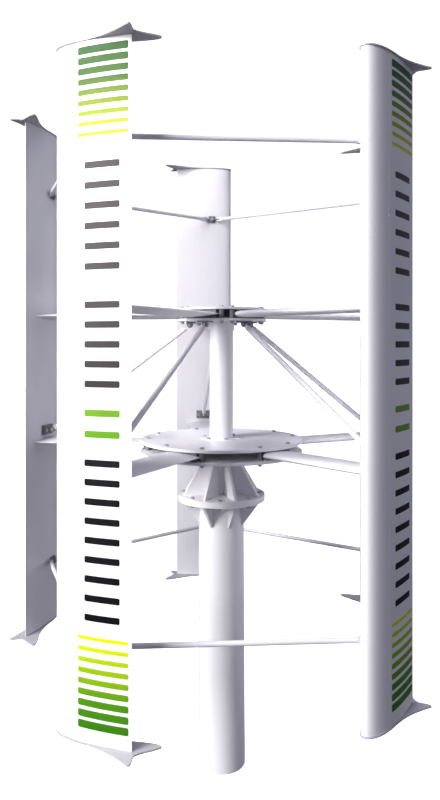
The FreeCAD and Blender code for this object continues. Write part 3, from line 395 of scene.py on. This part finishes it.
def round_bead(shell, reach, level, radius, pitch=0.008):
    """Weld bead in a circle about the mast axis."""
    count = int(2 * math.pi * reach / pitch)
    path = []
    radii = []
    for i in range(count):
        turn = 2 * math.pi * i / count
        path.append(Vector((reach * math.cos(turn), reach * math.sin(turn), level)))
        radii.append(radius * swell(i, 0.16, 0.05))
    shell.tube(path, radii, BEAD_SIDES, closed=True)


def turned_points(angle, points):
    """Points turned about the mast axis."""
    spin = Matrix.Rotation(angle, 4, "Z")
    return [spin @ Vector(p) for p in points]


# ------------------------------------------------------------------ blade surface


def half_thickness(x):
    """Half the blade's thickness in chords, at x chords from its nose."""
    return 5 * BLADE_RATIO * (0.2969 * math.sqrt(x) - 0.1260 * x - 0.3516 * x ** 2
                              + 0.2843 * x ** 3 - 0.1015 * x ** 4)


def outer_point(angle, along, level, lift):
    """Point on the outer face of a blade, lifted off it."""
    x = (along + BLADE_NOSE) / BLADE_CHORD
    step = 0.004
    low, high = max(0.0, x - step), min(1.0, x + step)
    slope = (half_thickness(high) - half_thickness(low)) / (high - low)
    tilt = math.hypot(1.0, slope)
    radial = BLADE_CIRCLE + half_thickness(x) * BLADE_CHORD + lift / tilt
    shift = along - lift * slope / tilt
    c, s = math.cos(angle), math.sin(angle)
    return Vector((radial * c - shift * s, radial * s + shift * c, level))


COLUMN_WIDTH = 0.022
CORNER_CUTS = (0.0, 0.15, 0.5, 1.0)    # rows of points across a round corner


def patch(shell, angle, low, high, foot, head, lift, depth, corner):
    """Thin film on a blade between two stations and two heights, with round corners."""
    columns = max(2, int((high - low) / COLUMN_WIDTH) + 1)
    heights = [foot + corner * cut for cut in CORNER_CUTS]
    heights += [head - corner * cut for cut in CORNER_CUTS[::-1]]
    outer, inner = [], []
    for level in heights:
        edge = min(level - foot, head - level)
        inset = corner - math.sqrt(max(0.0, corner ** 2 - (corner - min(edge, corner)) ** 2))
        stations = [low + inset + (high - low - 2 * inset) * j / columns
                    for j in range(columns + 1)]
        outer.append([outer_point(angle, t, level, lift) for t in stations])
        inner.append([outer_point(angle, t, level, lift - depth) for t in stations])
    shell.slab(outer, inner)


# ------------------------------------------------------------------ blade graphics

FILM_START = -0.140
FILM_END = 0.306
STRIPE_START = -0.100
STRIPE_END = 0.292
MARK_START = -0.045
MARK_END = 0.228
FILM_GAP = 0.005          # film edge to the end of the blade
FILM_LIFT = 0.0005
PRINT_LIFT = 0.0011
FILM_DEPTH = 0.0009
PRINT_DEPTH = 0.0010
FILM_CORNER = 0.02
STRIPE_CORNER = 0.012
MARK_CORNER = 0.010
STRIPE_COUNT = 9
STRIPE_FILL = 0.34        # narrowest stripe as a share of the pitch
STRIPE_GROWTH = 0.05      # and what each further stripe adds
MARK_PITCH = 0.142
HALF_MARK = 0.024
# foot, head, and whether the stripes widen upward or downward
STRIPE_GROUPS = ((5.440, 6.112, 1), (1.260, 1.950, -1))
# foot, head, and which print the marks are in
MARK_GROUPS = ((4.470, 5.330, "ink"), (3.640, 4.340, "ink"), (3.280, 3.580, "green"),
               (1.990, 3.220, "ink"))
GREEN_STOPS = [
    (1.240, (0.026, 0.160, 0.004)),
    (1.480, (0.065, 0.240, 0.006)),
    (1.740, (0.320, 0.480, 0.003)),
    (1.960, (0.760, 0.820, 0.002)),
    (3.260, (0.110, 0.330, 0.010)),
    (3.600, (0.170, 0.360, 0.022)),
    (5.430, (0.700, 0.760, 0.020)),
    (5.650, (0.300, 0.400, 0.025)),
    (5.870, (0.075, 0.170, 0.026)),
    (6.120, (0.032, 0.115, 0.028)),
]
# ink colour: near-black print at the foot, lightened toward the top of the blade as a painted sheen
# of the key light; heights in metres
INK_AND_SHEEN_STOPS = [
    (1.900, (0.004, 0.004, 0.005)),
    (3.200, (0.010, 0.009, 0.011)),
    (3.800, (0.048, 0.041, 0.042)),
    (4.300, (0.060, 0.051, 0.051)),
    (5.400, (0.078, 0.069, 0.067)),
]
green_material = print_film("film_green", GREEN_STOPS, seed=2.0)
ink_and_sheen_material = print_film("film_ink_and_sheen", INK_AND_SHEEN_STOPS, seed=6.0)

for k in range(1, BLADE_COUNT + 1):
    angle = blade_angle(k)
    film = Shell()
    prints = {"green": Shell(), "ink": Shell()}
    patch(film, angle, FILM_START, FILM_END, BLADE_FOOT + FILM_GAP, BLADE_HEAD - FILM_GAP,
          FILM_LIFT, FILM_DEPTH, FILM_CORNER)
    for foot, head, direction in STRIPE_GROUPS:
        pitch = (head - foot) / STRIPE_COUNT
        for i in range(STRIPE_COUNT):
            band = i if direction > 0 else STRIPE_COUNT - 1 - i
            tall = pitch * (STRIPE_FILL + STRIPE_GROWTH * band)
            middle = foot + pitch * (i + 0.5)
            patch(prints["green"], angle, STRIPE_START, STRIPE_END, middle - tall / 2,
                  middle + tall / 2, PRINT_LIFT, PRINT_DEPTH, STRIPE_CORNER)
    for foot, head, colour in MARK_GROUPS:
        count = max(2, round((head - foot) / MARK_PITCH))
        pitch = (head - foot) / count
        for i in range(count):
            middle = foot + pitch * (i + 0.5)
            patch(prints[colour], angle, MARK_START, MARK_END, middle - HALF_MARK,
                  middle + HALF_MARK, PRINT_LIFT, PRINT_DEPTH, MARK_CORNER)
    film.piece("blade_film_%d" % k, film_material, "rotor", "blade_shell")
    prints["green"].piece("blade_stripes_%d" % k, green_material, "rotor", "graphic_green")
    prints["ink"].piece("blade_marks_%d" % k, ink_and_sheen_material, "rotor", "graphic_ink")

# ------------------------------------------------------------------ welds and washers

# seams on each side of a gusset and the rib above it: start and end as radius and level
GUSSET_SEAMS = (((0.2150, 2.290), (0.2150, 2.504)),
                ((0.2210, 2.5095), (0.3800, 2.5095)),
                ((0.0905, 2.572), (0.0905, 2.880)),
                ((0.0960, 2.5665), (0.3740, 2.5665)))
RING_WELD = 0.006         # radius of each kind of bead
GUSSET_WELD = 0.005
COLLAR_WELD = 0.004
PROUD = 0.001             # middle of a bead off the corner it fills

mast_welds = Shell()
round_bead(mast_welds, MAST_TOP_RADIUS + PROUD, MAST_TOP - PROUD, RING_WELD)
round_bead(mast_welds, NECK_RADIUS + PROUD, NECK_FOOT + PROUD, RING_WELD)
for i in range(GUSSET_COUNT):
    angle = math.radians(CLOCKING + GUSSET_PITCH * i)
    for side in (-HALF_GUSSET, HALF_GUSSET):
        for seam in GUSSET_SEAMS:
            start, end = turned_points(angle, [(reach, side, level) for reach, level in seam])
            bead(mast_welds, start, end, GUSSET_WELD)
mast_welds.piece("mast_welds", weld_material, "mast", "mast_coat")

shaft_welds = Shell()
round_bead(shaft_welds, SHAFT_RADIUS + PROUD, SHAFT_FOOT + PROUD, RING_WELD)
round_bead(shaft_welds, SHAFT_RADIUS + PROUD, SHAFT_COLLAR - PROUD / 2, COLLAR_WELD)
shaft_welds.piece("shaft_welds", weld_material, "rotor", "shaft_coat")


def washer(shell, reach, angle, level, size):
    """Flat ring with a bevelled rim, standing on a face."""
    inner, outer, thick = size
    bevel = thick * WASHER_BEVEL
    x, y = reach * math.cos(angle), reach * math.sin(angle)
    profile = [(inner, 0), (outer, 0), (outer, thick - bevel), (outer - bevel, thick),
               (inner, thick), (inner, 0)]
    rows = []
    for s in range(WASHER_SIDES):
        turn = 2 * math.pi * s / WASHER_SIDES
        rows.append([Vector((x + r * math.cos(turn), y + r * math.sin(turn), level + z))
                     for r, z in profile])
    shell.ring(rows)


rotor_washers = Shell()
for (reach, levels), spread in ((LOWER_HUB_BOLTS, LOWER_HUB_SPREAD),
                                (UPPER_HUB_BOLTS, UPPER_HUB_SPREAD)):
    for k in range(1, BLADE_COUNT + 1):
        for side in (-1, 1):
            angle = blade_angle(k) + math.radians(spread) * side
            for level in levels:
                washer(rotor_washers, reach, angle, level, WASHER_M24)
reach, levels = CORE_BOLTS
for i in range(CORE_BOLT_COUNT):
    angle = math.radians(CORE_BOLT_START + 360.0 / CORE_BOLT_COUNT * i)
    for level in levels:
        washer(rotor_washers, reach, angle, level, WASHER_M20)
rotor_washers.piece("rotor_washers", MATERIALS["zinc_fastener"], "rotor", "zinc_fastener")

mast_washers = Shell()
reach, levels = FLANGE_BOLTS
for i in range(GUSSET_COUNT):
    angle = math.radians(CLOCKING + GUSSET_PITCH * (i + 0.5))
    for level in levels:
        washer(mast_washers, reach, angle, level, WASHER_M24)
mast_washers.piece("mast_washers", MATERIALS["zinc_fastener"], "mast", "zinc_fastener")

# ------------------------------------------------------------------ seals at the blade ends

SEAL_STEPS = 40
SEAL_RADIUS = 0.0026
SEAL_SIDES = 6
SEAL_LIFT = 0.0005        # middle of the seal out from the blade's surface
SEAL_INSET = 0.001        # and in from the blade's end


def seal_loop(angle, level, lift):
    """Points round a blade section, pushed off its surface."""
    upper = [(1 - math.cos(math.pi * i / SEAL_STEPS)) / 2 for i in range(SEAL_STEPS + 1)]
    points = []
    for side, stations in ((1, upper[::-1]), (-1, upper[1:])):
        for x in stations:
            radial = BLADE_CIRCLE + side * (half_thickness(x) * BLADE_CHORD + lift)
            along = x * BLADE_CHORD - BLADE_NOSE
            if x < 0.001:
                radial, along = BLADE_CIRCLE, -BLADE_NOSE - lift
            points.append(turned_points(angle, [(radial, along, level)])[0])
    return points


for k in range(1, BLADE_COUNT + 1):
    angle = blade_angle(k)
    seal = Shell()
    for level in (BLADE_FOOT + SEAL_INSET, BLADE_HEAD - SEAL_INSET):
        loop = seal_loop(angle, level, SEAL_LIFT)
        seal.tube(loop, [SEAL_RADIUS] * len(loop), SEAL_SIDES, closed=True)
    seal.piece("blade_seal_%d" % k, seal_material, "rotor", "end_plate")

# ------------------------------------------------------------------ floor and backdrop


def plain(name, colour, rough, glow=0.0):
    """Pale matt surface with a faint drift of shade and a glow of its own."""
    material, tree, shader = new_material(name)
    shade = ramp(tree, noise(tree, 0.7, 3), [(0.3, tuple(c * 0.985 for c in colour)),
                                             (0.7, colour)])
    tree.links.new(shade, shader.inputs["Base Color"])
    shader.inputs["Roughness"].default_value = rough
    tree.links.new(shade, shader.inputs["Emission Color"])
    shader.inputs["Emission Strength"].default_value = glow
    return material


def fade_to_white(material, near, far, low, high):
    """Glow that grows with distance from the mast axis."""
    tree = material.node_tree
    shader = next(n for n in tree.nodes if n.bl_idname == "ShaderNodeBsdfPrincipled")
    coords = tree.nodes.new("ShaderNodeTexCoord")
    length = tree.nodes.new("ShaderNodeVectorMath")
    length.operation = "LENGTH"
    span = tree.nodes.new("ShaderNodeMapRange")
    span.interpolation_type = "SMOOTHSTEP"
    span.inputs["From Min"].default_value = near
    span.inputs["From Max"].default_value = far
    span.inputs["To Min"].default_value = low
    span.inputs["To Max"].default_value = high
    tree.links.new(coords.outputs["Object"], length.inputs[0])
    tree.links.new(length.outputs["Value"], span.inputs["Value"])
    tree.links.new(span.outputs["Result"], shader.inputs["Emission Strength"])


def stage_piece(name, work, material):
    """Turns a bmesh into a piece of the set that neither lights nor mirrors in the machine."""
    mesh = bpy.data.meshes.new(name)
    work.to_mesh(mesh)
    work.free()
    mesh.materials.append(material)
    item = bpy.data.objects.new(name, mesh)
    bpy.context.scene.collection.objects.link(item)
    item.visible_diffuse = False
    item.visible_glossy = False
    return item


FLOOR_RADIUS = 60.0
FADE_START, FADE_END = 2.0, 12.0       # distances from the mast axis
NEAR_GLOW, FAR_GLOW = 0.90, 1.15
DROP_GLOW = 1.05
DROP_RADIUS = 59.0
DROP_HEIGHT = 120.0
SET_SIDES = 96

floor_material = plain("floor_pale", (0.90, 0.90, 0.91), 0.8)
fade_to_white(floor_material, FADE_START, FADE_END, NEAR_GLOW, FAR_GLOW)
work = bmesh.new()
bmesh.ops.create_circle(work, cap_ends=True, segments=SET_SIDES, radius=FLOOR_RADIUS)
stage_piece("floor", work, floor_material)

backdrop_material = plain("backdrop_white", (1.0, 1.0, 1.0), 1.0, DROP_GLOW)
work = bmesh.new()
bmesh.ops.create_cone(work, cap_ends=False, segments=SET_SIDES, radius1=DROP_RADIUS,
                      radius2=DROP_RADIUS, depth=DROP_HEIGHT,
                      matrix=Matrix.Translation((0, 0, DROP_HEIGHT / 2 - 1)))
backdrop = stage_piece("backdrop", work, backdrop_material)
backdrop.visible_shadow = False

# ------------------------------------------------------------------ light

# from straight down, 0, to straight up, 1
SKY_STOPS = [(0.0, (0.11, 0.11, 0.14)), (0.42, (0.20, 0.20, 0.26)), (0.58, (0.36, 0.36, 0.48)),
             (1.0, (0.58, 0.58, 0.70))]
SKY_STRENGTH = 0.54
KEY_COLOUR = (1.0, 0.985, 0.99)
TOP_COLOUR = (0.97, 0.97, 1.0)
RIM_COLOUR = (0.86, 0.88, 1.0)
BOUNCE_COLOUR = (0.94, 0.94, 1.0)

world = bpy.data.worlds.new("studio")
bpy.context.scene.world = world
world.use_nodes = True
sky = world.node_tree
sky.nodes.clear()
world_out = sky.nodes.new("ShaderNodeOutputWorld")
background = sky.nodes.new("ShaderNodeBackground")
coords = sky.nodes.new("ShaderNodeTexCoord")
split = sky.nodes.new("ShaderNodeSeparateXYZ")
height = sky.nodes.new("ShaderNodeMapRange")
height.inputs["From Min"].default_value = -1.0
height.inputs["From Max"].default_value = 1.0
sky.links.new(coords.outputs["Generated"], split.inputs["Vector"])
sky.links.new(split.outputs["Z"], height.inputs["Value"])
shade = ramp(sky, height.outputs["Result"], SKY_STOPS, smooth=False)
sky.links.new(shade, background.inputs["Color"])
background.inputs["Strength"].default_value = SKY_STRENGTH
sky.links.new(background.outputs["Background"], world_out.inputs["Surface"])


def area_light(name, at, toward, size, power, colour):
    """Rectangular light, its height along the second value of size."""
    data = bpy.data.lights.new(name, "AREA")
    data.shape = "RECTANGLE"
    data.size, data.size_y = size
    data.energy = power
    data.color = colour
    item = bpy.data.objects.new(name, data)
    item.location = at
    item.rotation_euler = (Vector(toward) - Vector(at)).to_track_quat("-Z", "Y").to_euler()
    bpy.context.scene.collection.objects.link(item)
    return item


# two far keys look through the gaps between the blades at the mast and the back blade
area_light("key_left", (-19.4, -10.3, 12.0), (0, 0, 2.4), (6.0, 17.0), 6200, KEY_COLOUR)
area_light("key_front", (-15.0, -14.2, 12.0), (0, 0, 2.0), (5.0, 17.0), 4200, KEY_COLOUR)
area_light("top", (0.0, 0.6, 14.0), (0, 0, 3.0), (3.0, 3.0), 300, TOP_COLOUR)
rim = area_light("rim", (10.4, 4.4, 2.4), (0, 0, 2.4), (10.0, 3.4), 240, RIM_COLOUR)
rim.visible_glossy = False
# faint light from the right on the shaded side of the mast
bounce = area_light("bounce", (1.46, -0.30, 2.5), (0, 0, 2.5), (0.7, 3.0), 9, BOUNCE_COLOUR)
bounce.visible_camera = False
bounce.visible_glossy = False

# ------------------------------------------------------------------ camera

CAMERA_DISTANCE = 6.428
CAMERA_HEIGHT = 3.994
CAMERA_TURN = math.radians(-7.27)
SENSOR_HEIGHT = 36.0      # millimetres, and so is the lens
LENS = 30.12975
SHIFT_X = -0.00175        # both shifts are in image heights
SHIFT_Y = -0.0702
camera_data = bpy.data.cameras.new("camera")
camera_data.sensor_fit = "VERTICAL"
camera_data.sensor_height = SENSOR_HEIGHT
camera_data.lens = LENS
camera_data.shift_x = SHIFT_X
camera_data.shift_y = SHIFT_Y
camera_data.clip_end = 400.0
camera = bpy.data.objects.new("camera", camera_data)
camera.location = (math.sin(CAMERA_TURN) * CAMERA_DISTANCE,
                   -math.cos(CAMERA_TURN) * CAMERA_DISTANCE, CAMERA_HEIGHT)
camera.rotation_euler = (math.radians(90), 0, CAMERA_TURN)
bpy.context.scene.collection.objects.link(camera)
bpy.context.scene.camera = camera
bpy.context.scene.view_settings.view_transform = "Standard"
bpy.context.scene.view_settings.look = "None"
